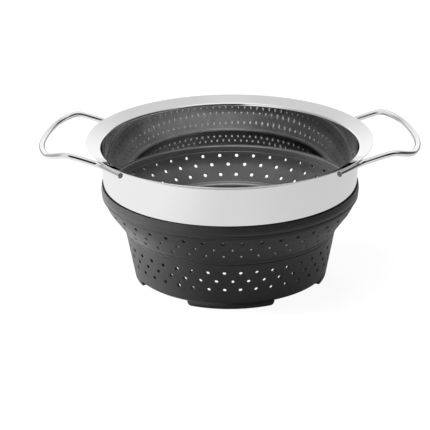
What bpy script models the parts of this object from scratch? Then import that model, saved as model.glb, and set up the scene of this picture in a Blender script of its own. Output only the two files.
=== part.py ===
"""Folding silicone steamer basket on a stainless steel ring with two wire handles.

Lengths are in metres. The origin is the middle of the basket on the surface that its feet
stand on. +Z is up, the handles lie along +X and -X, and one of the four feet faces -Y.
"""
import math

import bmesh
import bpy
from mathutils import Matrix, Vector

for old_object in list(bpy.data.objects):
    bpy.data.objects.remove(old_object, do_unlink=True)

# Round parts
STEEL_STEPS = 60
BEND_STEPS = 3
EDGE_STEPS = 2
MERGE_DISTANCE = 0.00001
PART_GAP = 0.0003

# Heights, each measured up from the one before it
FEET_HEIGHT = 0.0052
CUP_HEIGHT = 0.0431
CONE_HEIGHT = 0.0204
SHOULDER_DROP = 0.0074
COLLAR_SOLE = 0.0040
SKIRT_DEPTH = 0.0505
RIDGE_HEIGHT = FEET_HEIGHT + CUP_HEIGHT
SHOULDER_HEIGHT = RIDGE_HEIGHT + CONE_HEIGHT
COLLAR_BOTTOM = SHOULDER_HEIGHT + SHOULDER_DROP
SKIRT_BOTTOM = COLLAR_BOTTOM + COLLAR_SOLE
RIM_HEIGHT = SKIRT_BOTTOM + SKIRT_DEPTH

# Steel ring: a tapered skirt whose top is turned out into a sloping flange
SHEET = 0.0008
RIM_RADIUS = 0.1298
FLANGE_SLOPE = math.radians(23.6)
FLANGE_WIDTH = 0.0124
SKIRT_TAPER = math.radians(2.4)
FLANGE_BEND = 0.0030

# Handles: one round wire each, its ends laid against the underside of the flange
WIRE_RADIUS = 0.00275
HANDLE_STANDOUT = 0.0398
HANDLE_HALF_WIDTH = 0.0590
GRIP_BOW_RADIUS = 0.1217
GRIP_END_LEAN = math.radians(19.2)
GRIP_CORNER_RADIUS = 0.0280
ROOT_CORNER_RADIUS = 0.0110
ROOT_OVERLAP = 0.0020
WELD_LENGTH = 0.0300
ARM_RISE = 0.0038
ARM_FOLD_SHARE = 0.344
ARM_FOLD_SOFTNESS = 0.0050
ARM_SLOPE = 0.35
WIRE_BEND_STEPS = 7
WIRE_RUN_STEPS = 3
GRIP_STEPS = 10

# Silicone collar: the groove that the skirt's lower edge sits in
FLAP_COVER = 0.0097
FLAP_LIP = 0.0010
FLAP_THICKNESS = 0.0024
FLAP_SHOULDER_SHARE = 0.361
COLLAR_RIDGE_SHARE = 0.825
COLLAR_STEP = 0.0011
INNER_LIP_COVER = 0.0031
INNER_LIP_THICKNESS = 0.0028
INNER_LIP_EDGE = 0.0009
LIP_ROUND_SHARE = 0.5

# Silicone upper band: the perforated cone that turns inside out
UPPER_WALL = 0.0024
SHOULDER_INSET = 0.0035
CONE_INSET = 0.0146
UPPER_ROW_SHARES = (0.899, 0.615, 0.313)
UPPER_HOLE_TILT = math.radians(24.5)

# Silicone fold rib and cup wall
RIB_HEIGHT = 0.0030
BEAD_RADIUS = 0.0022
BEAD_ROUND_SHARE = 0.9
CUP_WALL = 0.0030
CUP_TAPER = math.radians(10.4)
CUP_CORNER = 0.0010
CUP_ROW_SHARES = (0.735, 0.538, 0.336)

# Holes in both walls
UPPER_HOLES_PER_ROW = 42
CUP_HOLES_PER_ROW = 41
HOLE_SIDES = 6
HOLE_RADIUS = 0.0017
HOLE_OVERRUN = 0.0020
FIRST_HOLE_TURN = math.radians(-93.4)
FLATS_PER_HOLE = 2
UPPER_STEPS = FLATS_PER_HOLE * UPPER_HOLES_PER_ROW
CUP_STEPS = FLATS_PER_HOLE * CUP_HOLES_PER_ROW

# Floor: a slotted margin with an open grate of spokes inside it
FLOOR_THICKNESS = 0.0024
FLOOR_MARGIN = 0.0163
GRATE_RING_SHARE = 0.507
RIB_WIDTH = 0.0021
HUB_RADIUS = 0.0065
SPOKES = 12
FLOOR_SLOTS = 36
SLOT_SHARE = 0.52

# Feet: four arcs that carry the wall's taper down to the table
FOOT_DEPTH = 0.0090
FOOT_EDGE = 0.0006
FOOT_CORNER = 0.0030
FOOT_HALF_TURN = math.radians(25.6)
FOOT_STEPS = 12

SKIRT_SLOPE = math.tan(SKIRT_TAPER)
CUP_SLOPE = math.tan(CUP_TAPER)
FLANGE_RISE = math.tan(FLANGE_SLOPE)
CONE_LEAN = math.atan2(CONE_INSET, CONE_HEIGHT)

part_collection = bpy.data.collections.new("steamer_basket")
cutter_collection = bpy.data.collections.new("cutters")
bpy.context.scene.collection.children.link(part_collection)
bpy.context.scene.collection.children.link(cutter_collection)


def make_material(name, color, roughness, metallic):
    """A Principled material of one colour."""
    material = bpy.data.materials.new(name)
    material.use_nodes = True
    shader = material.node_tree.nodes["Principled BSDF"]
    shader.inputs["Base Color"].default_value = (*color, 1.0)
    shader.inputs["Roughness"].default_value = roughness
    shader.inputs["Metallic"].default_value = metallic
    material.diffuse_color = (*color, 1.0)
    return material


def add_object(name, mesh, material, collection=part_collection):
    """Put a mesh in the scene under its node's name."""
    piece = bpy.data.objects.new(name, mesh)
    piece.data.materials.append(material)
    collection.objects.link(piece)
    return piece


def hide_cutter(cutter):
    """A cutter shows as wire and is left out of renders."""
    cutter.hide_render = True
    cutter.display_type = "WIRE"


def fillet(corners, closed):
    """Round the corners of an outline.

    Each corner is (x, y, radius, steps). A corner with no radius stays a point, and any other
    becomes an arc that touches both of its sides.
    """
    points = []
    count = len(corners)
    for index, (x, y, radius, steps) in enumerate(corners):
        here = Vector((x, y))
        at_end = not closed and index in (0, count - 1)
        if radius == 0 or at_end:
            points.append(here)
            continue
        before = Vector(corners[index - 1][:2]) - here
        after = Vector(corners[(index + 1) % count][:2]) - here
        before.normalize()
        after.normalize()
        half = before.angle(after) / 2
        centre = here + (before + after).normalized() * (radius / math.sin(half))
        start = here + before * (radius / math.tan(half)) - centre
        end = here + after * (radius / math.tan(half)) - centre
        turn = start.angle_signed(end)
        for step in range(steps + 1):
            spin = Matrix.Rotation(-turn * step / steps, 2)
            points.append(centre + spin @ start)
    return points


def turned(name, corners, material, steps, start_turn=0):
    """A ring: a closed outline of (radius, height) turned about Z.

    The corners run down the outer side and back up the inner side. The start turn sets where
    the flats of the ring lie, so that each hole is cut in the middle of one.
    """
    outline = fillet(corners, closed=True)
    mesh = bpy.data.meshes.new(name)
    across, along = math.cos(start_turn), math.sin(start_turn)
    vertices = [(radius * across, radius * along, height) for radius, height in outline]
    edges = [(index, (index + 1) % len(outline)) for index in range(len(outline))]
    mesh.from_pydata(vertices, edges, [])
    piece = add_object(name, mesh, material)
    screw = piece.modifiers.new("Turn", "SCREW")
    screw.steps = steps
    screw.render_steps = steps
    screw.use_merge_vertices = True
    screw.merge_threshold = MERGE_DISTANCE
    screw.use_smooth_shade = True
    return piece


def cut(piece, cutter):
    """Take a cutter out of a piece."""
    boolean = piece.modifiers.new("Cut " + cutter.name, "BOOLEAN")
    boolean.operation = "DIFFERENCE"
    boolean.solver = "EXACT"
    boolean.object = cutter
    hide_cutter(cutter)


def sloped_height(radius):
    """Height of the flange's top face at a radius."""
    return RIM_HEIGHT - (RIM_RADIUS - radius) * FLANGE_RISE


def skirt_radius(height):
    """Outer radius of the tapered steel skirt at a height."""
    return RIM_RADIUS - FLANGE_WIDTH - (RIM_HEIGHT - height) * SKIRT_SLOPE


FLAP_SHOULDER = SKIRT_BOTTOM + FLAP_COVER * FLAP_SHOULDER_SHARE
FLAP_RADIUS = skirt_radius(FLAP_SHOULDER) + FLAP_THICKNESS
BAND_RADIUS = FLAP_RADIUS - 2 * COLLAR_STEP
SHOULDER_RADIUS = BAND_RADIUS - SHOULDER_INSET
RIDGE_RADIUS = SHOULDER_RADIUS - CONE_INSET


def cup_radius(height):
    """Outer radius of the cup wall at a height."""
    return RIDGE_RADIUS - (RIDGE_HEIGHT - height) * CUP_SLOPE


def steel_ring(steel):
    """The skirt and flange, one sheet: down the outside, round the edge and up the inside."""
    bend_radius = skirt_radius(RIM_HEIGHT)
    bend_height = sloped_height(bend_radius)
    sheet_drop = SHEET / math.cos(FLANGE_SLOPE)
    inner_bend_radius = bend_radius - SHEET
    inner_bend_height = sloped_height(inner_bend_radius)
    corners = [
        (RIM_RADIUS, RIM_HEIGHT, 0, 0),
        (RIM_RADIUS, RIM_HEIGHT - sheet_drop, 0, 0),
        (bend_radius, bend_height - sheet_drop, FLANGE_BEND - SHEET, BEND_STEPS),
        (skirt_radius(SKIRT_BOTTOM), SKIRT_BOTTOM, 0, 0),
        (skirt_radius(SKIRT_BOTTOM) - SHEET, SKIRT_BOTTOM, 0, 0),
        (inner_bend_radius, inner_bend_height, FLANGE_BEND, BEND_STEPS),
    ]
    return turned("rim_ring", corners, steel, STEEL_STEPS)


def wire_height(x, y, root_x, root_half):
    """Height of the wire's middle: under the flange as far as the root, then along the arm."""
    radius = math.hypot(x, y)
    clear = (WIRE_RADIUS + PART_GAP + SHEET) / math.cos(FLANGE_SLOPE)
    under_flange = sloped_height(radius) - clear
    fold_x = RIM_RADIUS + HANDLE_STANDOUT * ARM_FOLD_SHARE
    soft_distance = math.hypot(x - fold_x, ARM_FOLD_SOFTNESS) - ARM_FOLD_SOFTNESS
    arm = RIM_HEIGHT + ARM_RISE - ARM_SLOPE * soft_distance
    share = min(max((x - root_x + root_half) / (2 * root_half), 0), 1)
    share = share * share * (3 - 2 * share)
    return under_flange + (arm - under_flange) * share


def handle_path():
    """Points along one handle on the +X side, from the front weld to the back weld."""
    lean = GRIP_END_LEAN
    bow_reach = RIM_RADIUS + HANDLE_STANDOUT + GRIP_BOW_RADIUS * (1 / math.cos(lean) - 1)
    corner_x = bow_reach - HANDLE_HALF_WIDTH * math.tan(lean)
    root_x = math.sqrt(RIM_RADIUS ** 2 - HANDLE_HALF_WIDTH ** 2) - ROOT_OVERLAP
    root_angle = math.atan2(HANDLE_HALF_WIDTH, root_x)
    weld_turn = WELD_LENGTH / RIM_RADIUS
    weld_heading = root_angle + weld_turn
    weld_x = root_x - WELD_LENGTH * math.sin(weld_heading)
    weld_y = HANDLE_HALF_WIDTH + WELD_LENGTH * math.cos(weld_heading)
    corners = [
        (weld_x, -weld_y, 0, 0),
        (root_x, -HANDLE_HALF_WIDTH, ROOT_CORNER_RADIUS, WIRE_BEND_STEPS),
        (corner_x, -HANDLE_HALF_WIDTH, GRIP_CORNER_RADIUS, WIRE_BEND_STEPS),
        (bow_reach, 0, GRIP_BOW_RADIUS, GRIP_STEPS),
        (corner_x, HANDLE_HALF_WIDTH, GRIP_CORNER_RADIUS, WIRE_BEND_STEPS),
        (root_x, HANDLE_HALF_WIDTH, ROOT_CORNER_RADIUS, WIRE_BEND_STEPS),
        (weld_x, weld_y, 0, 0),
    ]
    plan = fillet(corners, closed=False)
    path = []
    for start, end in zip(plan, plan[1:]):
        run = (end - start).length
        steps = WIRE_RUN_STEPS if run > ROOT_CORNER_RADIUS else 1
        for step in range(steps):
            path.append(start.lerp(end, step / steps))
    path.append(plan[-1])
    root_half = ROOT_CORNER_RADIUS / 2
    return [(x, y, wire_height(x, y, root_x, root_half)) for x, y in path]


def wire_handle(name, side, steel):
    """A handle bent from one wire; side is 1 for +X and -1 for -X."""
    curve = bpy.data.curves.new(name, "CURVE")
    curve.dimensions = "3D"
    curve.bevel_depth = WIRE_RADIUS
    curve.bevel_resolution = 2
    curve.use_fill_caps = True
    path = handle_path()
    spline = curve.splines.new("POLY")
    spline.points.add(len(path) - 1)
    for point, (x, y, z) in zip(spline.points, path):
        point.co = (side * x, y, z, 1)
    return add_object(name, curve, steel)


def collar(silicone):
    """The lower edge of the skirt sits between the collar's outer flap and its inner lip."""
    flap_top = SKIRT_BOTTOM + FLAP_COVER
    flap_inner = skirt_radius(flap_top) + PART_GAP
    groove_outer = skirt_radius(SKIRT_BOTTOM) + PART_GAP
    groove_inner = skirt_radius(SKIRT_BOTTOM) - SHEET - PART_GAP
    ridge_height = COLLAR_BOTTOM + COLLAR_SOLE * COLLAR_RIDGE_SHARE
    lip_foot = groove_inner - INNER_LIP_THICKNESS
    lip_edge = groove_inner - INNER_LIP_EDGE
    lip_top = SKIRT_BOTTOM + INNER_LIP_COVER
    groove_bottom = SKIRT_BOTTOM - PART_GAP
    corners = [
        (flap_inner + FLAP_LIP, flap_top, 0, 0),
        (FLAP_RADIUS, FLAP_SHOULDER, FLAP_THICKNESS, EDGE_STEPS),
        (FLAP_RADIUS - COLLAR_STEP, ridge_height, 0, 0),
        (BAND_RADIUS, ridge_height - COLLAR_STEP, 0, 0),
        (BAND_RADIUS, COLLAR_BOTTOM, 0, 0),
        (lip_foot, COLLAR_BOTTOM, 0, 0),
        (lip_edge, lip_top, INNER_LIP_EDGE * LIP_ROUND_SHARE, EDGE_STEPS),
        (groove_inner, lip_top, 0, 0),
        (groove_inner, groove_bottom, 0, 0),
        (groove_outer, groove_bottom, 0, 0),
        (flap_inner, flap_top, 0, 0),
    ]
    return turned("silicone_collar", corners, silicone, STEEL_STEPS)


def upper_outline():
    """Outer side of the upper band from its top to its bottom, as (radius, height)."""
    top = Vector((BAND_RADIUS, COLLAR_BOTTOM - PART_GAP))
    shoulder = Vector((SHOULDER_RADIUS, SHOULDER_HEIGHT))
    ridge = Vector((RIDGE_RADIUS, RIDGE_HEIGHT))
    height_share = (ridge.y + RIB_HEIGHT / 2 - shoulder.y) / (ridge.y - shoulder.y)
    return [top, shoulder, shoulder.lerp(ridge, height_share)]


def outline_radius(outline, height):
    """Radius of an outline of falling points at a height."""
    for upper, lower in zip(outline, outline[1:]):
        if height >= lower.y:
            share = (height - lower.y) / (upper.y - lower.y)
            return lower.x + (upper.x - lower.x) * share
    return outline[-1].x


def wall_turn(steps):
    """Start turn that puts the middle of a flat at every hole of a wall with this many flats."""
    return FIRST_HOLE_TURN + math.pi / steps


def hole_cutter(name, row_radii, row_heights, holes, wall, tilt):
    """Rows of pegs that cut the holes; every second row is turned by half a pitch."""
    length = wall + 2 * HOLE_OVERRUN
    pitch = 2 * math.pi / holes
    shape = bmesh.new()
    for row, (radius, height) in enumerate(zip(row_radii, row_heights)):
        row_turn = FIRST_HOLE_TURN + (row % 2) * pitch / 2
        for index in range(holes):
            turn = Matrix.Rotation(row_turn + index * pitch, 4, "Z")
            place = Matrix.Translation((radius - wall / 2, 0, height))
            lay_down = Matrix.Rotation(math.pi / 2 + tilt, 4, "Y")
            bmesh.ops.create_cone(
                shape, cap_ends=True, segments=HOLE_SIDES, radius1=HOLE_RADIUS,
                radius2=HOLE_RADIUS, depth=length, matrix=turn @ place @ lay_down)
    mesh = bpy.data.meshes.new(name)
    shape.to_mesh(mesh)
    shape.free()
    cutter = bpy.data.objects.new(name, mesh)
    cutter_collection.objects.link(cutter)
    return cutter


def upper_band(silicone):
    """The perforated cone between the collar and the fold rib."""
    outer = upper_outline()
    wall = UPPER_WALL / math.cos(CONE_LEAN)
    corners = [(point.x, point.y, 0, 0) for point in outer]
    corners += [(point.x - wall, point.y, 0, 0) for point in reversed(outer)]
    piece = turned("upper_band", corners, silicone, UPPER_STEPS, wall_turn(UPPER_STEPS))
    heights = [
        RIDGE_HEIGHT + (COLLAR_BOTTOM - RIDGE_HEIGHT) * share for share in UPPER_ROW_SHARES]
    radii = [outline_radius(outer, height) for height in heights]
    pegs = hole_cutter(
        "upper_pegs", radii, heights, UPPER_HOLES_PER_ROW, wall, UPPER_HOLE_TILT)
    cut(piece, pegs)
    return piece


def fold_rib(silicone):
    """The thick ring that the upper band folds round, with a bead on its inner side."""
    band_end = upper_outline()[-1]
    bead_outer = band_end.x - UPPER_WALL / math.cos(CONE_LEAN) - PART_GAP
    top = band_end.y - PART_GAP
    bottom = top - RIB_HEIGHT
    bead_top = top + BEAD_RADIUS
    bead_inner = bead_outer - 2 * BEAD_RADIUS
    corners = [
        (band_end.x, top, 0, 0),
        (RIDGE_RADIUS, RIDGE_HEIGHT, 0, 0),
        (cup_radius(bottom), bottom, 0, 0),
        (bead_inner, bottom, BEAD_RADIUS * BEAD_ROUND_SHARE, 1),
        (bead_inner, bead_top, BEAD_RADIUS * BEAD_ROUND_SHARE, EDGE_STEPS),
        (bead_outer, bead_top, BEAD_RADIUS * BEAD_ROUND_SHARE, 1),
        (bead_outer, top, 0, 0),
    ]
    return turned("fold_rib", corners, silicone, CUP_STEPS, wall_turn(CUP_STEPS))


def cup_wall(silicone):
    """The perforated lower wall, which stands round the floor."""
    wall = CUP_WALL / math.cos(CUP_TAPER)
    top = upper_outline()[-1].y - 2 * PART_GAP - RIB_HEIGHT
    corners = [
        (cup_radius(top), top, 0, 0),
        (cup_radius(FEET_HEIGHT), FEET_HEIGHT, CUP_CORNER, EDGE_STEPS),
        (cup_radius(FEET_HEIGHT) - wall, FEET_HEIGHT, 0, 0),
        (cup_radius(top) - wall, top, 0, 0),
    ]
    piece = turned("cup_wall", corners, silicone, CUP_STEPS, wall_turn(CUP_STEPS))
    heights = [FEET_HEIGHT + CUP_HEIGHT * share for share in CUP_ROW_SHARES]
    radii = [cup_radius(height) for height in heights]
    cut(piece, hole_cutter("cup_pegs", radii, heights, CUP_HOLES_PER_ROW, wall, 0))
    return piece


def join(piece, addition):
    """Fuse another shape into a piece."""
    boolean = piece.modifiers.new("Join " + addition.name, "BOOLEAN")
    boolean.operation = "UNION"
    boolean.solver = "EXACT"
    boolean.object = addition
    hide_cutter(addition)


def tool_mesh(name, shape):
    """A hidden shape that cuts the floor or is fused into it."""
    mesh = bpy.data.meshes.new(name)
    shape.to_mesh(mesh)
    shape.free()
    tool = bpy.data.objects.new(name, mesh)
    cutter_collection.objects.link(tool)
    return tool


def bar(shape, inner_end, outer_end, width, low, high, turn):
    """A straight bar that runs outwards from one radius to another."""
    size = Matrix.Diagonal((outer_end - inner_end, width, high - low, 1))
    place = Matrix.Translation(((inner_end + outer_end) / 2, 0, (low + high) / 2))
    bmesh.ops.create_cube(shape, size=1, matrix=Matrix.Rotation(turn, 4, "Z") @ place @ size)


def flat_ring(outer, inner):
    """Corners of a flat ring of the floor's thickness."""
    low = FEET_HEIGHT
    high = low + FLOOR_THICKNESS
    return [(outer, high, 0, 0), (outer, low, 0, 0), (inner, low, 0, 0), (inner, high, 0, 0)]


def cup_floor(silicone):
    """The floor: a slotted margin, and spokes with one ring across the open middle."""
    low = FEET_HEIGHT
    high = low + FLOOR_THICKNESS
    outer = cup_radius(low) - CUP_WALL / math.cos(CUP_TAPER) - PART_GAP
    grate_radius = outer - FLOOR_MARGIN
    corners = flat_ring(outer, grate_radius)
    floor = turned("cup_floor", corners, silicone, CUP_STEPS, wall_turn(CUP_STEPS))

    slots = bmesh.new()
    slot_middle = outer - FLOOR_MARGIN / 2
    slot_half = FLOOR_MARGIN * SLOT_SHARE / 2
    for index in range(FLOOR_SLOTS):
        turn = (2 * index + 1) * math.pi / FLOOR_SLOTS
        bar(slots, slot_middle - slot_half, slot_middle + slot_half, 2 * HOLE_RADIUS,
            low - HOLE_OVERRUN, high + HOLE_OVERRUN, turn)
    cut(floor, tool_mesh("floor_slots", slots))

    ring_radius = grate_radius * GRATE_RING_SHARE
    ring_outline = flat_ring(ring_radius + RIB_WIDTH / 2, ring_radius - RIB_WIDTH / 2)
    ring_piece = turned("grate_ring", ring_outline, silicone, 3 * SPOKES)
    part_collection.objects.unlink(ring_piece)
    cutter_collection.objects.link(ring_piece)

    hub_shape = bmesh.new()
    hub_place = Matrix.Translation((0, 0, (low + high) / 2))
    bmesh.ops.create_cone(
        hub_shape, cap_ends=True, segments=2 * SPOKES, radius1=HUB_RADIUS, radius2=HUB_RADIUS,
        depth=FLOOR_THICKNESS, matrix=hub_place)
    hub = tool_mesh("grate_hub", hub_shape)
    for index in range(SPOKES):
        spoke = bmesh.new()
        turn = index * 2 * math.pi / SPOKES
        bar(spoke, HUB_RADIUS - RIB_WIDTH, grate_radius + RIB_WIDTH, RIB_WIDTH, low, high, turn)
        join(hub, tool_mesh(f"grate_spoke_{index}", spoke))
    join(ring_piece, hub)
    join(floor, ring_piece)
    return floor


def foot(name, facing, silicone):
    """An arc of the wall carried down to the table, with its lower edges rounded off."""
    shape = bmesh.new()
    top = FEET_HEIGHT - PART_GAP
    outer = cup_radius(top)
    inner = outer - FOOT_DEPTH
    corner_turn = FOOT_CORNER / outer
    rounding = [(0, FOOT_CORNER), (0.3, 0.3 * FOOT_CORNER), (1, 0)]
    ends = [(FOOT_HALF_TURN - corner_turn * share, low) for share, low in rounding]
    flat_half = FOOT_HALF_TURN - corner_turn
    middle = [(flat_half * (2 * step / FOOT_STEPS - 1), 0) for step in range(1, FOOT_STEPS)]
    turns = [(-turn, low) for turn, low in ends] + middle + list(reversed(ends))
    sections = []
    for turn, low in turns:
        spin = Matrix.Rotation(facing + turn, 4, "Z")
        edge = low + FOOT_EDGE
        section = [
            (outer, 0, top), (cup_radius(edge), 0, edge), (cup_radius(low) - FOOT_EDGE, 0, low),
            (inner, 0, low), (inner, 0, top)]
        sections.append([shape.verts.new(spin @ Vector(corner)) for corner in section])
    for one, other in zip(sections, sections[1:]):
        for side in range(len(one)):
            after = (side + 1) % len(one)
            shape.faces.new((one[side], one[after], other[after], other[side]))
    shape.faces.new(list(reversed(sections[0])))
    shape.faces.new(sections[-1])
    bmesh.ops.recalc_face_normals(shape, faces=shape.faces)
    mesh = bpy.data.meshes.new(name)
    shape.to_mesh(mesh)
    shape.free()
    return add_object(name, mesh, silicone)


polished_steel = make_material("polished_steel", (0.78, 0.78, 0.77), 0.12, 1.0)
dark_silicone = make_material("dark_silicone", (0.035, 0.036, 0.038), 0.48, 0.0)

steel_ring(polished_steel)
wire_handle("handle_left", -1, polished_steel)
wire_handle("handle_right", 1, polished_steel)
collar(dark_silicone)
upper_band(dark_silicone)
fold_rib(dark_silicone)
cup_wall(dark_silicone)
cup_floor(dark_silicone)
quarter_turn = math.pi / 2
foot("foot_front", -quarter_turn, dark_silicone)
foot("foot_back", quarter_turn, dark_silicone)
foot("foot_left", math.pi, dark_silicone)
foot("foot_right", 0, dark_silicone)
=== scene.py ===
import math

import bmesh
import bpy
import numpy as np
from mathutils import Matrix, Vector


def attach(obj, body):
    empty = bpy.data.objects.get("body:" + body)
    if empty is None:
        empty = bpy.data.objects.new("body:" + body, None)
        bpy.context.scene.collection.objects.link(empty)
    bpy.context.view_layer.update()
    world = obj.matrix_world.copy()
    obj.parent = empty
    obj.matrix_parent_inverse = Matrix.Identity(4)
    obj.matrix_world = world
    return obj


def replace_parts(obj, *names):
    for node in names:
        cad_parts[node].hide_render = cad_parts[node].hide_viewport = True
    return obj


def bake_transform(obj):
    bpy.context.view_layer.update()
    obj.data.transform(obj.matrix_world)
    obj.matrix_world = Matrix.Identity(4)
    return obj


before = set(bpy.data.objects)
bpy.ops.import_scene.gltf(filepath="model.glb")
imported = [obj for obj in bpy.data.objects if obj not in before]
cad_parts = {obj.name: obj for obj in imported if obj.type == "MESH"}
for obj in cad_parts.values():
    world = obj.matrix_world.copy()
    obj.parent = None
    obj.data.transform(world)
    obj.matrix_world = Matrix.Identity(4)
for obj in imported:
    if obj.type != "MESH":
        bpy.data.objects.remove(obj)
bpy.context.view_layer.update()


# Steel ring
# One polished stainless sheet: a flange that slopes up to the rim, a tight bend and a slightly
# tapered skirt. The skirt's inner face keeps faint waves from spinning, which draw out what it
# mirrors.

RIM_RADIUS, RIM_HEIGHT = 0.1298, 0.1306
SHEET = 0.0008
SHEET_EDGE = 0.00032
FLANGE_SLOPE = math.radians(23.6)
FLANGE_WIDTH = 0.0124
FLANGE_BEND = 0.0030
FLANGE_START = 0.0060
SKIRT_TAPER = math.radians(2.4)
SKIRT_BOTTOM = 0.0801
RING_STEPS = 480
RING_SPACING = 0.0010
RING_ARC_STEP = math.radians(4)
ARC_GRAIN = 0.00012
STRAIGHT_ENOUGH = 0.001

# Each wave: how far it stands out, its length, and how far its phase drifts, how many times round
# the ring and from where.
WAVES = (
    (0.0000008, 0.0080, 2.0, 5, 0.4),
    (0.0000040, 0.0120, 1.6, 3, 1.9),
    (0.0000090, 0.0210, 1.1, 4, 2.7))
WAVES_LOW, WAVES_FULL, WAVES_TOP = 0.0985, 0.1060, 0.1225
WAVES_LEAST = 0.1
FOOT_CURVE, FOOT_REACH = 2.0, 0.0155
INNER_FACE_SHARE = 0.6

STEEL_SHADE = 0.86
SHEET_ROUGHNESS = (0.03, 0.07)
SHEET_STRETCH = (9, 900, 900)
SHEET_RELIEF = 0.000004
UNROLL_RADIUS = 0.115
LINE_DETAIL = 4.0
CLOUD_SCALE, CLOUD_DETAIL = 26.0, 3.0
MARKS_LOW, MARKS_HIGH = 0.12, 0.42
RELIEF_STRENGTH = 0.35


def flange_height(radius):
    """Height of the flange's top face: the rim's height less the fall of a straight slope."""
    return RIM_HEIGHT - (RIM_RADIUS - radius) * math.tan(FLANGE_SLOPE)


def skirt_radius(height):
    """Outer radius of the skirt: its top's radius less the fall times the taper's tangent."""
    return RIM_RADIUS - FLANGE_WIDTH - (RIM_HEIGHT - height) * math.tan(SKIRT_TAPER)


def outline(corners, spacing=0.001, arc_step=math.radians(11)):
    """A profile as an array of (radius, height).

    Each corner is (radius, height, rounding). A rounded corner becomes an arc that touches both
    of its sides, cut into equal angles that are wider where the rounding is fine, and the
    straight runs are cut into short lengths.
    """
    corners = np.array(corners, float)
    runs = [corners[:1, :2]]

    def run_to(end):
        start = runs[-1][-1]
        count = max(1, int(math.ceil(np.linalg.norm(end - start) / spacing)))
        runs.append(start + (end - start) * np.arange(1, count + 1)[:, None] / count)

    for index in range(1, len(corners) - 1):
        here, rounding = corners[index, :2], corners[index, 2]
        back = corners[index - 1, :2] - here
        on = corners[index + 1, :2] - here
        back, on = back / np.linalg.norm(back), on / np.linalg.norm(on)
        half = math.acos(np.clip(back @ on, -1, 1)) / 2
        if rounding == 0 or math.pi / 2 - half < STRAIGHT_ENOUGH:
            run_to(here)
            continue
        centre = here + (back + on) / np.linalg.norm(back + on) * rounding / math.sin(half)
        run_to(here + back * rounding / math.tan(half))
        arrive = runs[-1][-1] - centre
        leave = here + on * rounding / math.tan(half) - centre
        turn = math.atan2(arrive[0] * leave[1] - arrive[1] * leave[0], arrive @ leave)
        count = max(2, int(math.ceil(abs(turn) * min(1 / arc_step, rounding / ARC_GRAIN))))
        angle = math.atan2(arrive[1], arrive[0]) + turn * np.arange(1, count + 1) / count
        runs.append(centre + rounding * np.column_stack([np.cos(angle), np.sin(angle)]))
    run_to(corners[-1, :2])
    return np.concatenate(runs)


def grid_faces(rows, steps, closed_rows=False):
    """Four-cornered faces of a grid whose steps run all the way round, as places in its points."""
    row = np.arange(rows if closed_rows else rows - 1)[:, None]
    step = np.arange(steps)[None, :]
    below, beside = (row + 1) % rows, (step + 1) % steps
    return np.stack([row * steps + step, below * steps + step,
                     below * steps + beside, row * steps + beside], axis=-1).reshape(-1, 4)


def turned_grid(profile, steps, start_turn=0.0, closed=False, proud=0.0):
    """Points and faces of a profile turned about Z. It runs down the outer side and up the inner.

    The point of profile row k and step i lies at the turn start + 2 pi i / steps, at the
    profile's radius plus what proud adds there, and at the profile's height.
    """
    turn = start_turn + np.arange(steps) * 2 * math.pi / steps
    radius = profile[:, :1] + proud
    height = np.repeat(profile[:, 1:2], steps, axis=1)
    points = np.stack([radius * np.cos(turn), radius * np.sin(turn), height], axis=-1)
    return points.reshape(-1, 3), grid_faces(len(profile), steps, closed)


def new_piece(name, points, quads, *materials):
    """A smooth-shaded mesh object from an array of points and an array of four-cornered faces."""
    mesh = bpy.data.meshes.new(name)
    mesh.from_pydata(points.tolist(), [], quads.tolist())
    mesh.polygons.foreach_set("use_smooth", np.ones(len(mesh.polygons), bool))
    for material in materials:
        mesh.materials.append(material)
    piece = bpy.data.objects.new(name, mesh)
    bpy.context.scene.collection.objects.link(piece)
    return piece


def spinning_marks(turn, height):
    """How far the skirt's inner face stands out, in metres.

    Three sine waves along the height, 8, 12 and 21 mm long, whose phases drift round the ring,
    add up to 0.014 mm at most. They fade out at the bend, and fade to a tenth on the lower half,
    where the face curves like a parabola until it is nearly upright.
    """
    waves = sum(
        proud * np.sin(2 * math.pi * height / length + drift * np.sin(times * turn + start))
        for proud, length, drift, times, start in WAVES)
    rise = np.clip((height - WAVES_LOW) / (WAVES_FULL - WAVES_LOW), 0, 1)
    rise = WAVES_LEAST + (1 - WAVES_LEAST) * rise
    fall = np.clip((WAVES_TOP - height) / FLANGE_BEND, 0, 1)
    return waves * rise * fall + FOOT_CURVE / 2 * np.clip(WAVES_LOW - height, 0, FOOT_REACH) ** 2


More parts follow.
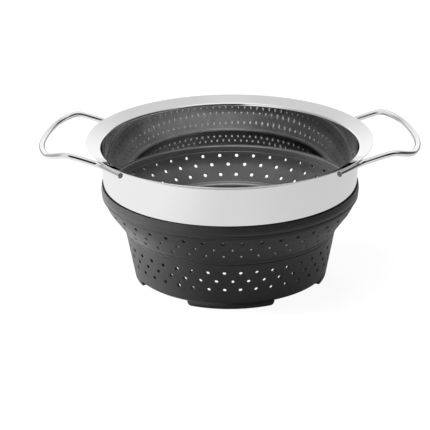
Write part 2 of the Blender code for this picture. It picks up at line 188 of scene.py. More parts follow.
def polish_marks():
    """A node group for polished steel: polishing lines under a soft cloudiness.

    The object is unrolled round its axis to (arc length, height, radius), and Stretch draws the
    lines out along it. Marks is lines times clouds, about 0.1 to 0.45, and Lines is for a relief.
    """
    group = bpy.data.node_groups.new("polish_marks", "ShaderNodeTree")
    group.interface.new_socket("Stretch", in_out="INPUT", socket_type="NodeSocketVector")
    group.interface.new_socket("Marks", in_out="OUTPUT", socket_type="NodeSocketFloat")
    group.interface.new_socket("Lines", in_out="OUTPUT", socket_type="NodeSocketFloat")
    add, link = group.nodes.new, group.links.new
    given, output = add("NodeGroupInput"), add("NodeGroupOutput")
    place, split = add("ShaderNodeTexCoord"), add("ShaderNodeSeparateXYZ")
    turn, arc = add("ShaderNodeMath"), add("ShaderNodeMath")
    turn.operation, arc.operation = "ARCTAN2", "MULTIPLY"
    arc.inputs[1].default_value = UNROLL_RADIUS
    flat, reach = add("ShaderNodeVectorMath"), add("ShaderNodeVectorMath")
    flat.operation, reach.operation = "MULTIPLY", "LENGTH"
    flat.inputs[1].default_value = (1, 1, 0)
    join, stretch = add("ShaderNodeCombineXYZ"), add("ShaderNodeVectorMath")
    stretch.operation = "MULTIPLY"
    lines, clouds = add("ShaderNodeTexNoise"), add("ShaderNodeTexNoise")
    lines.inputs["Scale"].default_value = 1.0
    lines.inputs["Detail"].default_value = LINE_DETAIL
    clouds.inputs["Scale"].default_value = CLOUD_SCALE
    clouds.inputs["Detail"].default_value = CLOUD_DETAIL
    both = add("ShaderNodeMath")
    both.operation = "MULTIPLY"
    link(place.outputs["Object"], split.inputs[0])
    link(split.outputs["Y"], turn.inputs[0])
    link(split.outputs["X"], turn.inputs[1])
    link(turn.outputs[0], arc.inputs[0])
    link(place.outputs["Object"], flat.inputs[0])
    link(flat.outputs[0], reach.inputs[0])
    link(arc.outputs[0], join.inputs["X"])
    link(split.outputs["Z"], join.inputs["Y"])
    link(reach.outputs["Value"], join.inputs["Z"])
    link(join.outputs[0], stretch.inputs[0])
    link(given.outputs["Stretch"], stretch.inputs[1])
    link(stretch.outputs[0], lines.inputs["Vector"])
    link(join.outputs[0], clouds.inputs["Vector"])
    link(lines.outputs["Fac"], both.inputs[0])
    link(clouds.outputs["Fac"], both.inputs[1])
    link(both.outputs[0], output.inputs["Marks"])
    link(lines.outputs["Fac"], output.inputs["Lines"])
    return group


def steel_material(name, marks, shade, roughness, stretch, relief):
    """Stainless steel whose roughness, (low, high), and relief follow its polish marks.

    Stretch is how many lines fit in a metre along the arc, the height and the radius, and relief
    is their depth in metres.
    """
    material = bpy.data.materials.new(name)
    material.use_nodes = True
    add, link = material.node_tree.nodes.new, material.node_tree.links.new
    shader = material.node_tree.nodes["Principled BSDF"]
    shader.inputs["Metallic"].default_value = 1.0
    shader.inputs["Base Color"].default_value = (shade, shade, shade, 1.0)
    polish, gloss, bump = add("ShaderNodeGroup"), add("ShaderNodeMapRange"), add("ShaderNodeBump")
    polish.node_tree = marks
    polish.inputs["Stretch"].default_value = stretch
    gloss.inputs["From Min"].default_value = MARKS_LOW
    gloss.inputs["From Max"].default_value = MARKS_HIGH
    gloss.inputs["To Min"].default_value, gloss.inputs["To Max"].default_value = roughness
    bump.inputs["Strength"].default_value = RELIEF_STRENGTH
    bump.inputs["Distance"].default_value = relief
    link(polish.outputs["Marks"], gloss.inputs["Value"])
    link(gloss.outputs["Result"], shader.inputs["Roughness"])
    link(polish.outputs["Lines"], bump.inputs["Height"])
    link(bump.outputs["Normal"], shader.inputs["Normal"])
    return material


steel_marks = polish_marks()
sheet_steel = steel_material("polished_sheet_steel", steel_marks, STEEL_SHADE,
                             SHEET_ROUGHNESS, SHEET_STRETCH, SHEET_RELIEF)
bend_radius = skirt_radius(RIM_HEIGHT)
sheet_drop = SHEET / math.cos(FLANGE_SLOPE)
ring_start = (bend_radius + FLANGE_START, flange_height(bend_radius + FLANGE_START), 0)
ring_profile = outline([
    ring_start,
    (RIM_RADIUS, RIM_HEIGHT, SHEET_EDGE),
    (RIM_RADIUS, RIM_HEIGHT - sheet_drop, SHEET_EDGE),
    (bend_radius, flange_height(bend_radius) - sheet_drop, FLANGE_BEND - SHEET),
    (skirt_radius(SKIRT_BOTTOM), SKIRT_BOTTOM, SHEET_EDGE),
    (skirt_radius(SKIRT_BOTTOM) - SHEET, SKIRT_BOTTOM, SHEET_EDGE),
    (bend_radius - SHEET, flange_height(bend_radius - SHEET), FLANGE_BEND),
    ring_start], RING_SPACING, RING_ARC_STEP)[:-1]
face_limit = skirt_radius(ring_profile[:, 1:2]) - SHEET * INNER_FACE_SHARE
ring_turn = np.arange(RING_STEPS)[None, :] * 2 * math.pi / RING_STEPS
inner_waves = np.where(ring_profile[:, :1] < face_limit,
                       spinning_marks(ring_turn, ring_profile[:, 1:2]), 0)
steel_ring = new_piece("steel_ring", *turned_grid(
    ring_profile, RING_STEPS, closed=True, proud=inner_waves), sheet_steel)
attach(steel_ring, "ring")
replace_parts(steel_ring, "rim_ring")


# Wire handles
# Each is one polished round wire. Its sawn ends are welded to the underside of the flange; the
# arms rise over the rim and fall again to a slightly bowed grip.

WIRE_RADIUS = 0.00275
WIRE_GAP = 0.0003
WIRE_EDGE = 0.0004
WIRE_SIDES = 40
WIRE_SPACING = 0.001
WIRE_ARC_STEP = math.radians(3)
CUT_ROWS = 3
HANDLE_STANDOUT = 0.0398
HANDLE_HALF_WIDTH = 0.0590
GRIP_BOW_RADIUS = 0.1217
GRIP_END_LEAN = math.radians(19.2)
GRIP_CORNER_RADIUS = 0.0280
ROOT_CORNER_RADIUS = 0.0110
ROOT_OVERLAP = 0.0020
WELD_LENGTH = 0.0300
ARM_RISE = 0.0038
ARM_FOLD_SHARE = 0.344
ARM_FOLD_SOFTNESS = 0.0050
ARM_SLOPE = 0.35

WIRE_ROUGHNESS = (0.05, 0.10)
WIRE_STRETCH = (300, 300, 300)
WIRE_RELIEF = 0.000006
CUT_SHADE = 0.22
CUT_ROUGHNESS = (0.38, 0.55)
CUT_STRETCH = (1500, 60, 60)
CUT_RELIEF = 0.00003

wire_steel = steel_material("polished_wire_steel", steel_marks, STEEL_SHADE,
                            WIRE_ROUGHNESS, WIRE_STRETCH, WIRE_RELIEF)
cut_steel = steel_material("sawn_wire_end", steel_marks, CUT_SHADE,
                           CUT_ROUGHNESS, CUT_STRETCH, CUT_RELIEF)


def wire_height(x, y, root_x):
    """Height of the wire's middle.

    It lies a wire's half thickness under the flange as far as the root. The arm is a soft peak,
    the rim's height plus the rise less a slope times the distance from the fold, and a smooth
    step about the root leads from one to the other.
    """
    clear = (WIRE_RADIUS + WIRE_GAP + SHEET) / math.cos(FLANGE_SLOPE)
    under_flange = flange_height(np.hypot(x, y)) - clear
    fold_x = RIM_RADIUS + HANDLE_STANDOUT * ARM_FOLD_SHARE
    soft = np.hypot(x - fold_x, ARM_FOLD_SOFTNESS) - ARM_FOLD_SOFTNESS
    share = np.clip((x - root_x + ROOT_CORNER_RADIUS / 2) / ROOT_CORNER_RADIUS, 0, 1)
    share = share * share * (3 - 2 * share)
    return under_flange + (RIM_HEIGHT + ARM_RISE - ARM_SLOPE * soft - under_flange) * share


def handle_path():
    """The wire's centre line on the +X side, from the front weld to the back weld.

    In plan it is straight runs joined by arcs: the root's corners, the grip's corners and the
    bow of the grip, which leans back at its ends.
    """
    lean = GRIP_END_LEAN
    bow_reach = RIM_RADIUS + HANDLE_STANDOUT + GRIP_BOW_RADIUS * (1 / math.cos(lean) - 1)
    corner_x = bow_reach - HANDLE_HALF_WIDTH * math.tan(lean)
    root_x = math.sqrt(RIM_RADIUS ** 2 - HANDLE_HALF_WIDTH ** 2) - ROOT_OVERLAP
    heading = math.atan2(HANDLE_HALF_WIDTH, root_x) + WELD_LENGTH / RIM_RADIUS
    weld_x = root_x - WELD_LENGTH * math.sin(heading)
    weld_y = HANDLE_HALF_WIDTH + WELD_LENGTH * math.cos(heading)
    plan = outline([
        (weld_x, -weld_y, 0),
        (root_x, -HANDLE_HALF_WIDTH, ROOT_CORNER_RADIUS),
        (corner_x, -HANDLE_HALF_WIDTH, GRIP_CORNER_RADIUS),
        (bow_reach, 0, GRIP_BOW_RADIUS),
        (corner_x, HANDLE_HALF_WIDTH, GRIP_CORNER_RADIUS),
        (root_x, HANDLE_HALF_WIDTH, ROOT_CORNER_RADIUS),
        (weld_x, weld_y, 0)], WIRE_SPACING, WIRE_ARC_STEP)
    return np.column_stack([plan, wire_height(plan[:, 0], plan[:, 1], root_x)])


def weld_points(piece, distance=0.000004):
    """Join the points of neighbouring patches, so that the shading runs across them."""
    shape = bmesh.new()
    shape.from_mesh(piece.data)
    bmesh.ops.remove_doubles(shape, verts=shape.verts, dist=distance)
    shape.to_mesh(piece.data)
    shape.free()


def wire_handle(name, side):
    """A tube along the wire's line: circles square to it, and flat ends with a small rounding."""
    path = handle_path() * (side, 1, 1)
    along = np.gradient(path, axis=0)
    along /= np.linalg.norm(along, axis=1, keepdims=True)
    level = np.cross(along, (0, 0, 1))
    level /= np.linalg.norm(level, axis=1, keepdims=True)
    upright = np.cross(level, along)
    lap = np.radians([90, 60, 30])
    rounded = WIRE_RADIUS - WIRE_EDGE * (1 - np.cos(lap))
    end_radius = np.concatenate([[0.0, WIRE_RADIUS / 2], rounded])
    end_step = np.concatenate([[0.0, 0.0], WIRE_EDGE * (1 - np.sin(lap))])
    ends, inside = len(end_radius), len(path) - 2
    place = np.concatenate([
        np.zeros(ends, int), np.arange(1, inside + 1), np.full(ends, inside + 1)])
    radius = np.concatenate([end_radius, np.full(inside, WIRE_RADIUS), end_radius[::-1]])
    step = np.concatenate([end_step, np.zeros(inside), -end_step[::-1]])
    angle = np.arange(WIRE_SIDES)[None, :, None] * 2 * math.pi / WIRE_SIDES
    spread = np.cos(angle) * level[place][:, None] + np.sin(angle) * upright[place][:, None]
    points = path[place][:, None] + along[place][:, None] * step[:, None, None]
    points = points + spread * radius[:, None, None]
    handle = new_piece(name, points.reshape(-1, 3), grid_faces(len(place), WIRE_SIDES),
                       wire_steel, cut_steel)
    slots = np.zeros((len(place) - 1, WIRE_SIDES), int)
    slots[:CUT_ROWS], slots[-CUT_ROWS:] = 1, 1
    handle.data.polygons.foreach_set("material_index", slots.ravel())
    weld_points(handle)
    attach(handle, "ring")
    return handle


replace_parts(wire_handle("left_wire_handle", -1), "handle_left")
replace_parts(wire_handle("right_wire_handle", 1), "handle_right")


# Silicone collar
# The groove that holds the skirt's lower edge: a flap outside that thins upwards and stands off
# the steel by a fine crevice, a rounded lip inside, and a fine bead at the foot of the flap.

COLLAR_END = 0.0780
COLLAR_STEPS = 400
COLLAR_SPACING = 0.0006
GROOVE_GAP = 0.0001
GROOVE_INNER = skirt_radius(SKIRT_BOTTOM) - SHEET - GROOVE_GAP
FLAP_TOP = 0.0897
FLAP_EDGE = 0.0013
FLAP_BEVEL_WIDTH, FLAP_BEVEL_DROP = 0.0005, 0.0003
FLAP_EDGE_ROUNDING = 0.0002
FLAP_CREVICE = 0.0014
FLAP_SHOULDER = 0.0836
FLAP_SHOULDER_ROUNDING = 0.0060
FLAP_THICKNESS = 0.0024
FLAP_RADIUS = skirt_radius(FLAP_SHOULDER) + FLAP_THICKNESS
BAND_STEP = 0.0022
BAND_RADIUS = FLAP_RADIUS - BAND_STEP
BEAD_HEIGHT = 0.0795
BEAD_PROUD = 0.0005
BEAD_SETBACK = 0.0011
BEAD_HOLLOW = 0.0009
BEAD_START, BEAD_RISE, BEAD_FALL, BEAD_END = 0.0013, 0.0004, 0.0009, 0.0011
BEAD_ROUNDING, BEAD_LOW_ROUNDING, BEAD_END_ROUNDING = 0.0006, 0.0005, 0.0004
LIP_TOP = 0.0834
LIP_TOP_THICKNESS, LIP_THICKNESS = 0.0022, 0.0034
LIP_EDGE = GROOVE_INNER - LIP_TOP_THICKNESS
LIP_INNER = GROOVE_INNER - LIP_THICKNESS
LIP_DROP = 0.0004
LIP_ROUNDING = 0.0020
LIP_BACK_ROUNDING = 0.0003

SILICONE_SHADES = (0.024, 0.034)
SILICONE_ROUGHNESS = (0.36, 0.46)
SILICONE_SPECULAR = 0.38
SHEEN_WEIGHT, SHEEN_ROUGHNESS = 0.10, 0.35
BLOOM_SCALE, BLOOM_DETAIL = 34.0, 5.0
BLOOM_TONE_SPAN, BLOOM_GLOSS_SPAN = (0.35, 0.70), (0.3, 0.7)
GRAIN_SCALE, GRAIN_DETAIL = 2600.0, 2.0
GRAIN_STRENGTH, GRAIN_DEPTH = 0.25, 0.0001


def silicone_material():
    """Satin dark grey silicone: a fine moulded grain, and a faint bloom that lifts the colour."""
    material = bpy.data.materials.new("moulded_silicone")
    material.use_nodes = True
    add, link = material.node_tree.nodes.new, material.node_tree.links.new
    shader = material.node_tree.nodes["Principled BSDF"]
    shader.inputs["Specular IOR Level"].default_value = SILICONE_SPECULAR
    shader.inputs["Sheen Weight"].default_value = SHEEN_WEIGHT
    shader.inputs["Sheen Roughness"].default_value = SHEEN_ROUGHNESS
    place, bloom, grain = (
        add("ShaderNodeTexCoord"), add("ShaderNodeTexNoise"), add("ShaderNodeTexNoise"))
    bloom.inputs["Scale"].default_value = BLOOM_SCALE
    bloom.inputs["Detail"].default_value = BLOOM_DETAIL
    grain.inputs["Scale"].default_value = GRAIN_SCALE
    grain.inputs["Detail"].default_value = GRAIN_DETAIL
    tone, gloss, bump = add("ShaderNodeValToRGB"), add("ShaderNodeMapRange"), add("ShaderNodeBump")
    for stop, position, shade in zip(
            tone.color_ramp.elements, BLOOM_TONE_SPAN, SILICONE_SHADES):
        stop.position, stop.color = position, (shade, shade, shade, 1)
    gloss.inputs["From Min"].default_value, gloss.inputs["From Max"].default_value = (
        BLOOM_GLOSS_SPAN)
    gloss.inputs["To Min"].default_value, gloss.inputs["To Max"].default_value = (
        SILICONE_ROUGHNESS)
    bump.inputs["Strength"].default_value = GRAIN_STRENGTH
    bump.inputs["Distance"].default_value = GRAIN_DEPTH
    link(place.outputs["Object"], bloom.inputs["Vector"])
    link(place.outputs["Object"], grain.inputs["Vector"])
    link(bloom.outputs["Fac"], tone.inputs["Fac"])
    link(tone.outputs["Color"], shader.inputs["Base Color"])
    link(bloom.outputs["Fac"], gloss.inputs["Value"])
    link(gloss.outputs["Result"], shader.inputs["Roughness"])
    link(grain.outputs["Fac"], bump.inputs["Height"])
    link(bump.outputs["Normal"], shader.inputs["Normal"])
    return material


silicone = silicone_material()
flap_inner = skirt_radius(FLAP_TOP) + GROOVE_GAP
flap_bevel = (flap_inner + FLAP_EDGE - FLAP_BEVEL_WIDTH, FLAP_TOP - FLAP_BEVEL_DROP, 0)
bead_radius = FLAP_RADIUS - BEAD_SETBACK + BEAD_PROUD
collar_profile = outline([
    flap_bevel,
    (flap_inner + FLAP_EDGE, FLAP_TOP, FLAP_EDGE_ROUNDING),
    (FLAP_RADIUS, FLAP_SHOULDER, FLAP_SHOULDER_ROUNDING),
    (FLAP_RADIUS - BEAD_HOLLOW, BEAD_HEIGHT + BEAD_START, BEAD_ROUNDING),
    (bead_radius, BEAD_HEIGHT + BEAD_RISE, BEAD_ROUNDING),
    (bead_radius, BEAD_HEIGHT - BEAD_FALL, BEAD_LOW_ROUNDING),
    (BAND_RADIUS, BEAD_HEIGHT - BEAD_END, BEAD_END_ROUNDING),
    (BAND_RADIUS, COLLAR_END, 0),
    (LIP_INNER, COLLAR_END, 0),
    (LIP_EDGE, LIP_TOP - LIP_DROP, LIP_ROUNDING),
    (GROOVE_INNER, LIP_TOP, LIP_BACK_ROUNDING),
    (GROOVE_INNER, SKIRT_BOTTOM - GROOVE_GAP, 0),
    (skirt_radius(SKIRT_BOTTOM) + GROOVE_GAP, SKIRT_BOTTOM - GROOVE_GAP, 0),
    (flap_inner, FLAP_TOP - FLAP_CREVICE, FLAP_EDGE_ROUNDING),
    flap_bevel], COLLAR_SPACING)[:-1]
collar = new_piece("silicone_collar_moulding", *turned_grid(
    collar_profile, COLLAR_STEPS, closed=True), silicone)
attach(collar, "ring")
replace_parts(collar, "silicone_collar")


# Folding band
# The perforated silicone cone that turns inside out. Its holes run down outwards, and it
# stretches between the collar, which holds its top, and the cup, which carries its foot.

SHOULDER = (0.1121, 0.0687)
RIDGE = (0.0975, 0.0483)
CONE_LEAN = math.atan2(SHOULDER[0] - RIDGE[0], SHOULDER[1] - RIDGE[1])
BAND_THICKNESS = 0.0024
BAND_WALL = BAND_THICKNESS / math.cos(CONE_LEAN)
BAND_FOOT = 0.0506
BAND_SWEEP = 0.020
BAND_CORNER_HEIGHT, BAND_CORNER_ROUNDING = 0.0767, 0.0008
BAND_INNER_STEP, BAND_INNER_HEIGHT = 0.0006, 0.0757
BAND_SPACING = 0.0003
BAND_ARC_STEP = math.radians(1)
BAND_ROWS = (0.0733, 0.0654, 0.0570)
BAND_ROW_EDGES = (0.0774, 0.0693, 0.0612, 0.0527)
BAND_HOLES = 42
HOLE_RADIUS = 0.0017
HOLE_EDGE = 0.0003
HOLE_TILT = math.radians(24.5)
FIRST_HOLE = math.radians(-93.4)
PATCH_ACROSS, PATCH_UP = 10, 6
PATCH_BORDER = 2 * (PATCH_ACROSS + PATCH_UP)
SPREAD_SHARES = (0.0, 0.45, 0.8)
STRIP_ROWS = 5


def pierced_row(place, level, low, high, count, first_turn, hole, edge, shift):
    """One row of patches round the axis, each with a hole that has rounded edges.

    Place maps a level and a depth share (0 on the outer face, 1 on the inner) to a radius and a
    height. A patch is a rectangle of turn and level, with as many points on its border as on its
    hole. Rings of points blend from that border to the hole, go down its bore and spread again
    on the inner face. Hole is (half width, half height, half of a straight stretch) in metres,
    edge the rounding of its rim and shift how far the bore climbs from the outer face to the
    inner.
    """
    pitch = 2 * math.pi / count
    across = np.concatenate([
        np.linspace(-0.5, 0.5, PATCH_ACROSS + 1)[:-1], np.full(PATCH_UP, 0.5),
        np.linspace(0.5, -0.5, PATCH_ACROSS + 1)[:-1], np.full(PATCH_UP, -0.5)])
    climb = np.arange(PATCH_UP) / PATCH_UP
    up = np.concatenate([np.zeros(PATCH_ACROSS), climb, np.ones(PATCH_ACROSS), 1 - climb])
    border_turn, border_level = across * pitch, low + up * (high - low)
    angle = (np.arange(PATCH_BORDER) - PATCH_ACROSS / 2) * 2 * math.pi / PATCH_BORDER - math.pi / 2
    middle = np.array([level])
    outer, inner = (np.array(place(middle, depth)).ravel() for depth in (0.0, 1.0))
    wall = np.linalg.norm(outer - inner)
    half_width, half_height, straight = hole
    end_of_slot = np.sign(np.round(np.sin(angle), 6))

    def hole_ring(grow, depth):
        side = (half_width + grow) * np.cos(angle) / outer[0]
        rise = (half_height + grow) * np.sin(angle) + end_of_slot * straight
        return side, level + rise + shift * (depth - 0.5), depth

    def spread(share, depth):
        side, rise, _ = hole_ring(edge, depth)
        return (border_turn * (1 - share) + side * share,
                border_level * (1 - share) + rise * share, depth)

    laps = np.radians([0, 30, 60, 90])
    grow, sink = edge * (1 - np.sin(laps)), edge * (1 - np.cos(laps)) / wall
    rings = [spread(share, 0.0) for share in SPREAD_SHARES]
    rings += [hole_ring(*lap) for lap in zip(grow, sink)]
    rings += [hole_ring(0.0, 0.5)]
    rings += [hole_ring(*lap) for lap in zip(grow[::-1], 1 - sink[::-1])]
    rings += [spread(share, 1.0) for share in SPREAD_SHARES[::-1]]

    turns = first_turn + np.arange(count)[:, None, None] * pitch
    side = turns + np.array([ring[0] for ring in rings])[None]
    radius, height = np.stack([np.broadcast_arrays(*place(rise, depth))
                               for _, rise, depth in rings], axis=1)
    points = np.stack([radius * np.cos(side), radius * np.sin(side), height + 0 * side], axis=-1)
    patch = grid_faces(len(rings), PATCH_BORDER)[:, ::-1]
    quads = patch[None] + np.arange(count)[:, None, None] * len(rings) * PATCH_BORDER
    return points.reshape(-1, 3), quads.reshape(-1, 4)


def staggered_rows(place, rows, edges, count, hole, shift):
    """Rows of holes, each second one turned by half a pitch."""
    half_pitch = math.pi / count
    return [
        pierced_row(place, level, edges[row + 1], edges[row], count,
                    FIRST_HOLE + (row % 2) * half_pitch, hole, HOLE_EDGE, shift)
        for row, level in enumerate(rows)]


def patch_grid(profile, count):
    """A turned profile whose steps meet the border points of a row of patches."""
    return turned_grid(profile, PATCH_ACROSS * count, FIRST_HOLE - math.pi / count)


def plain_strip(place, heights, depth, count):
    """A strip of wall with no holes, on the outer face (depth 0) or the inner (depth 1)."""
    profile = np.column_stack(np.broadcast_arrays(*place(np.array(heights, float), depth)))
    return patch_grid(profile[::-1] if depth == 1 else profile, count)


def cut_end(place, height, count, upper):
    """The flat ring that closes a wall at its upper or lower end, where its neighbour meets it."""
    profile = np.array([np.ravel(place(np.array([height]), depth)) for depth in (0.0, 1.0)])
    return patch_grid(profile[::-1] if upper else profile, count)


def gather(parts):
    """Join several (points, faces) pairs into one."""
    starts = np.cumsum([0] + [len(points) for points, _ in parts])
    return (np.concatenate([points for points, _ in parts]),
            np.concatenate([quads + start for (_, quads), start in zip(parts, starts)]))


def cone_radius(height):
    """Outer radius on the straight cone: the ridge's, plus the rise times the lean's tangent."""
    return RIDGE[0] + (height - RIDGE[1]) * math.tan(CONE_LEAN)


band_outer = outline([
    (BAND_RADIUS, COLLAR_END, 0),
    (BAND_RADIUS, BAND_CORNER_HEIGHT, BAND_CORNER_ROUNDING),
    (*SHOULDER, BAND_SWEEP),
    (cone_radius(BAND_FOOT), BAND_FOOT, 0)], BAND_SPACING, BAND_ARC_STEP)
band_inner = outline([
    (LIP_INNER, COLLAR_END, 0),
    (LIP_INNER - BAND_INNER_STEP, BAND_INNER_HEIGHT, BAND_SWEEP),
    (SHOULDER[0] - BAND_WALL, SHOULDER[1], BAND_SWEEP),
    (cone_radius(BAND_FOOT) - BAND_WALL, BAND_FOOT, 0)], BAND_SPACING, BAND_ARC_STEP)


def band_place(height, depth):
    """Radius and height in the band's wall: depth 0 is its outer face and 1 its inner face."""
    outer = np.interp(height, band_outer[::-1, 1], band_outer[::-1, 0])
    inner = np.interp(height, band_inner[::-1, 1], band_inner[::-1, 0])
    return outer * (1 - depth) + inner * depth, height


band_hole = (HOLE_RADIUS, HOLE_RADIUS * math.cos(CONE_LEAN) / math.cos(CONE_LEAN - HOLE_TILT), 0)
band_parts = staggered_rows(band_place, BAND_ROWS, BAND_ROW_EDGES, BAND_HOLES, band_hole,
                            BAND_WALL * math.tan(HOLE_TILT))
band_foot_heights = np.linspace(BAND_ROW_EDGES[-1], BAND_FOOT, STRIP_ROWS)
for depth in (0, 1):
    band_parts += [
        plain_strip(band_place, (COLLAR_END, BAND_ROW_EDGES[0]), depth, BAND_HOLES),
        plain_strip(band_place, band_foot_heights, depth, BAND_HOLES)]
band_parts += [cut_end(band_place, COLLAR_END, BAND_HOLES, True),
               cut_end(band_place, BAND_FOOT, BAND_HOLES, False)]
band = new_piece("folding_band", *gather(band_parts), silicone)
weld_points(band)
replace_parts(band, "upper_band")
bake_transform(band)


# Fold rib
# The thick silicone ring between the band and the cup: a fine bead outside and a round one
# inside that catches the light.

CUP_LEAN = math.radians(10.4)
CUP_THICKNESS = 0.0030
CUP_WALL = CUP_THICKNESS / math.cos(CUP_LEAN)
CUP_TOP = 0.0462
RIB_SPACING = 0.0004
RIB_ARC_STEP = math.radians(9)
RIB_JOIN = 0.0012
RIB_PROUD, RIB_UPPER_PROUD = 0.0006, 0.0004
RIDGE_START, RIDGE_TOP, RIDGE_LOW, RIDGE_END = 0.0494, 0.0490, 0.0478, 0.0472
RIDGE_START_ROUNDING, RIDGE_ROUNDING, RIDGE_END_ROUNDING = 0.0008, 0.0006, 0.0010
RIB_INNER = 0.0906
RIB_FOOT, RIB_LOW, RIB_TOP = 0.0470, 0.0468, 0.0514
RIB_FOOT_FILLET, RIB_LOW_ROUNDING, RIB_ROUNDING, RIB_TOP_FILLET = 0.0012, 0.0008, 0.0036, 0.0010


def cup_radius(height):
    """Outer radius of the cup wall: the ridge's, less the fall times the lean's tangent."""
    return RIDGE[0] - (RIDGE[1] - height) * math.tan(CUP_LEAN)


rib_start = (cone_radius(BAND_FOOT) - BAND_WALL / 2, BAND_FOOT, 0)
rib_profile = outline([
    rib_start,
    (cone_radius(BAND_FOOT), BAND_FOOT, 0),
    (cone_radius(RIDGE_START), RIDGE_START, RIDGE_START_ROUNDING),
    (RIDGE[0] + RIB_PROUD + RIB_UPPER_PROUD, RIDGE_TOP, RIDGE_ROUNDING),
    (RIDGE[0] + RIB_PROUD, RIDGE_LOW, RIDGE_ROUNDING),
    (cup_radius(RIDGE_END), RIDGE_END, RIDGE_END_ROUNDING),
    (cup_radius(CUP_TOP), CUP_TOP, 0),
    (cup_radius(CUP_TOP) - CUP_WALL, CUP_TOP, 0),
    (cup_radius(RIB_FOOT) - CUP_WALL, RIB_FOOT, RIB_FOOT_FILLET),
    (RIB_INNER, RIB_LOW, RIB_LOW_ROUNDING),
    (RIB_INNER, RIB_TOP, RIB_ROUNDING),
    (cone_radius(RIB_TOP) - BAND_WALL, RIB_TOP, RIB_TOP_FILLET),
    (cone_radius(BAND_FOOT + RIB_JOIN) - BAND_WALL, BAND_FOOT + RIB_JOIN, 0),
    rib_start], RIB_SPACING, RIB_ARC_STEP)[:-1]
rib = new_piece("fold_rib_moulding", *turned_grid(
    rib_profile, COLLAR_STEPS, closed=True), silicone)
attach(rib, "cup")
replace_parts(rib, "fold_rib")


# Cup wall
# The steeper perforated wall under the rib, with a crisp lower corner outside and a fillet
# inside that runs on into the floor.

FEET_HEIGHT = 0.0052
FLOOR_TOP = 0.0076
FLOOR_INSET = 0.0020
FLOOR_EDGE = cup_radius(FEET_HEIGHT) - CUP_WALL - FLOOR_INSET
FLOOR_FILLET = 0.0020
CUP_CORNER = 0.0010
CUP_SPACING = 0.0012
CUP_HOLES = 41
CUP_ROWS = (0.0369, 0.0284, 0.0197)
CUP_ROW_EDGES = (0.0411, 0.0327, 0.0241, 0.0153)


def cup_place(height, depth):
    """Radius and height in the cup's wall: depth 0 is its outer face and 1 its inner face."""
    return cup_radius(height) - CUP_WALL * depth, height


cup_foot = outline([
    (cup_radius(CUP_ROW_EDGES[-1]), CUP_ROW_EDGES[-1], 0),
    (cup_radius(FEET_HEIGHT), FEET_HEIGHT, CUP_CORNER),
    (FLOOR_EDGE, FEET_HEIGHT, 0),
    (FLOOR_EDGE, FLOOR_TOP, 0),
    (cup_radius(FLOOR_TOP) - CUP_WALL, FLOOR_TOP, FLOOR_FILLET),
    (cup_radius(CUP_ROW_EDGES[-1]) - CUP_WALL, CUP_ROW_EDGES[-1], 0)], CUP_SPACING)
cup_parts = staggered_rows(
    cup_place, CUP_ROWS, CUP_ROW_EDGES, CUP_HOLES, (HOLE_RADIUS, HOLE_RADIUS, 0), 0.0)
cup_top_heights = np.linspace(CUP_TOP, CUP_ROW_EDGES[0], STRIP_ROWS)
cup_parts += [plain_strip(cup_place, cup_top_heights, depth, CUP_HOLES) for depth in (0, 1)]
cup_parts += [cut_end(cup_place, CUP_TOP, CUP_HOLES, True), patch_grid(cup_foot, CUP_HOLES)]
cup = new_piece("cup_wall_moulding", *gather(cup_parts), silicone)
weld_points(cup)
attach(cup, "cup")
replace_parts(cup, "cup_wall")


# Floor
# A slotted silicone margin round an open grate: twelve spokes, one ring and a hub, all with
# rounded edges. The photograph shows daylight through every hole that looks across it.

GRATE_RADIUS = 0.0700
GRATE_RING = 0.0355
GRATE_STEPS = 180
BAR_WIDTH = 0.0021
BAR_EDGE = 0.0006
HUB_RADIUS = 0.0065
HUB_STEPS = 60
HUB_PINHOLE, HUB_EDGE = 0.0002, 0.0001
SPOKES = 12
SPOKE_ROWS = 12
SLOT_COUNT = 36
SLOT_HALF_WIDTH = 0.0020
SLOT_HALF_LENGTH = 0.00425
SLOT_EDGE = 0.0004
SLOT_MIDDLE = 0.0780
SLOT_EDGES = (0.0834, 0.0726)
MARGIN_STEPS = 360
FLOOR_SPACING = 0.002
FLAT_RING_SPACING = 0.004


def floor_place(level, depth):
    """Radius and height in the floor: the level is the radius below zero, depth 0 is the top."""
    return -level, FLOOR_TOP - (FLOOR_TOP - FEET_HEIGHT) * depth + 0 * level


def flat_ring(outer, inner, edge, steps):
    """A flat ring of the floor's thickness: a rectangle with rounded corners turned about Z."""
    middle = (outer + inner) / 2
    return turned_grid(outline([
        (middle, FLOOR_TOP, 0), (outer, FLOOR_TOP, edge), (outer, FEET_HEIGHT, edge),
        (inner, FEET_HEIGHT, edge), (inner, FLOOR_TOP, edge), (middle, FLOOR_TOP, 0)],
        FLAT_RING_SPACING)[:-1], steps, closed=True)


def close_ends(points):
    """Add a row at each end of a tube's rows of points that draws it together to its middle."""
    ends = (points[:1], points[-1:])
    first, last = (np.repeat(end.mean(axis=1, keepdims=True), points.shape[1], axis=1)
                   for end in ends)
    return np.concatenate([first, points, last])


def spoke(turn):
    """A straight bar from the hub to the margin: a rounded rectangle carried along a radius."""
    half = BAR_WIDTH / 2
    section = outline([
        (0, FLOOR_TOP, 0), (half, FLOOR_TOP, BAR_EDGE), (half, FEET_HEIGHT, BAR_EDGE),
        (-half, FEET_HEIGHT, BAR_EDGE), (-half, FLOOR_TOP, BAR_EDGE), (0, FLOOR_TOP, 0)],
        FLOOR_SPACING)[:-1]
    reach = np.linspace(HUB_RADIUS - BAR_WIDTH, GRATE_RADIUS + BAR_WIDTH / 2, SPOKE_ROWS)[:, None]
    across, height = section[None, :, 0], section[None, :, 1]
    points = close_ends(np.stack([reach * math.cos(turn) + across * math.sin(turn),
                                  reach * math.sin(turn) - across * math.cos(turn),
                                  height + 0 * reach], axis=-1))
    return points.reshape(-1, 3), grid_faces(len(points), len(section))[:, ::-1]


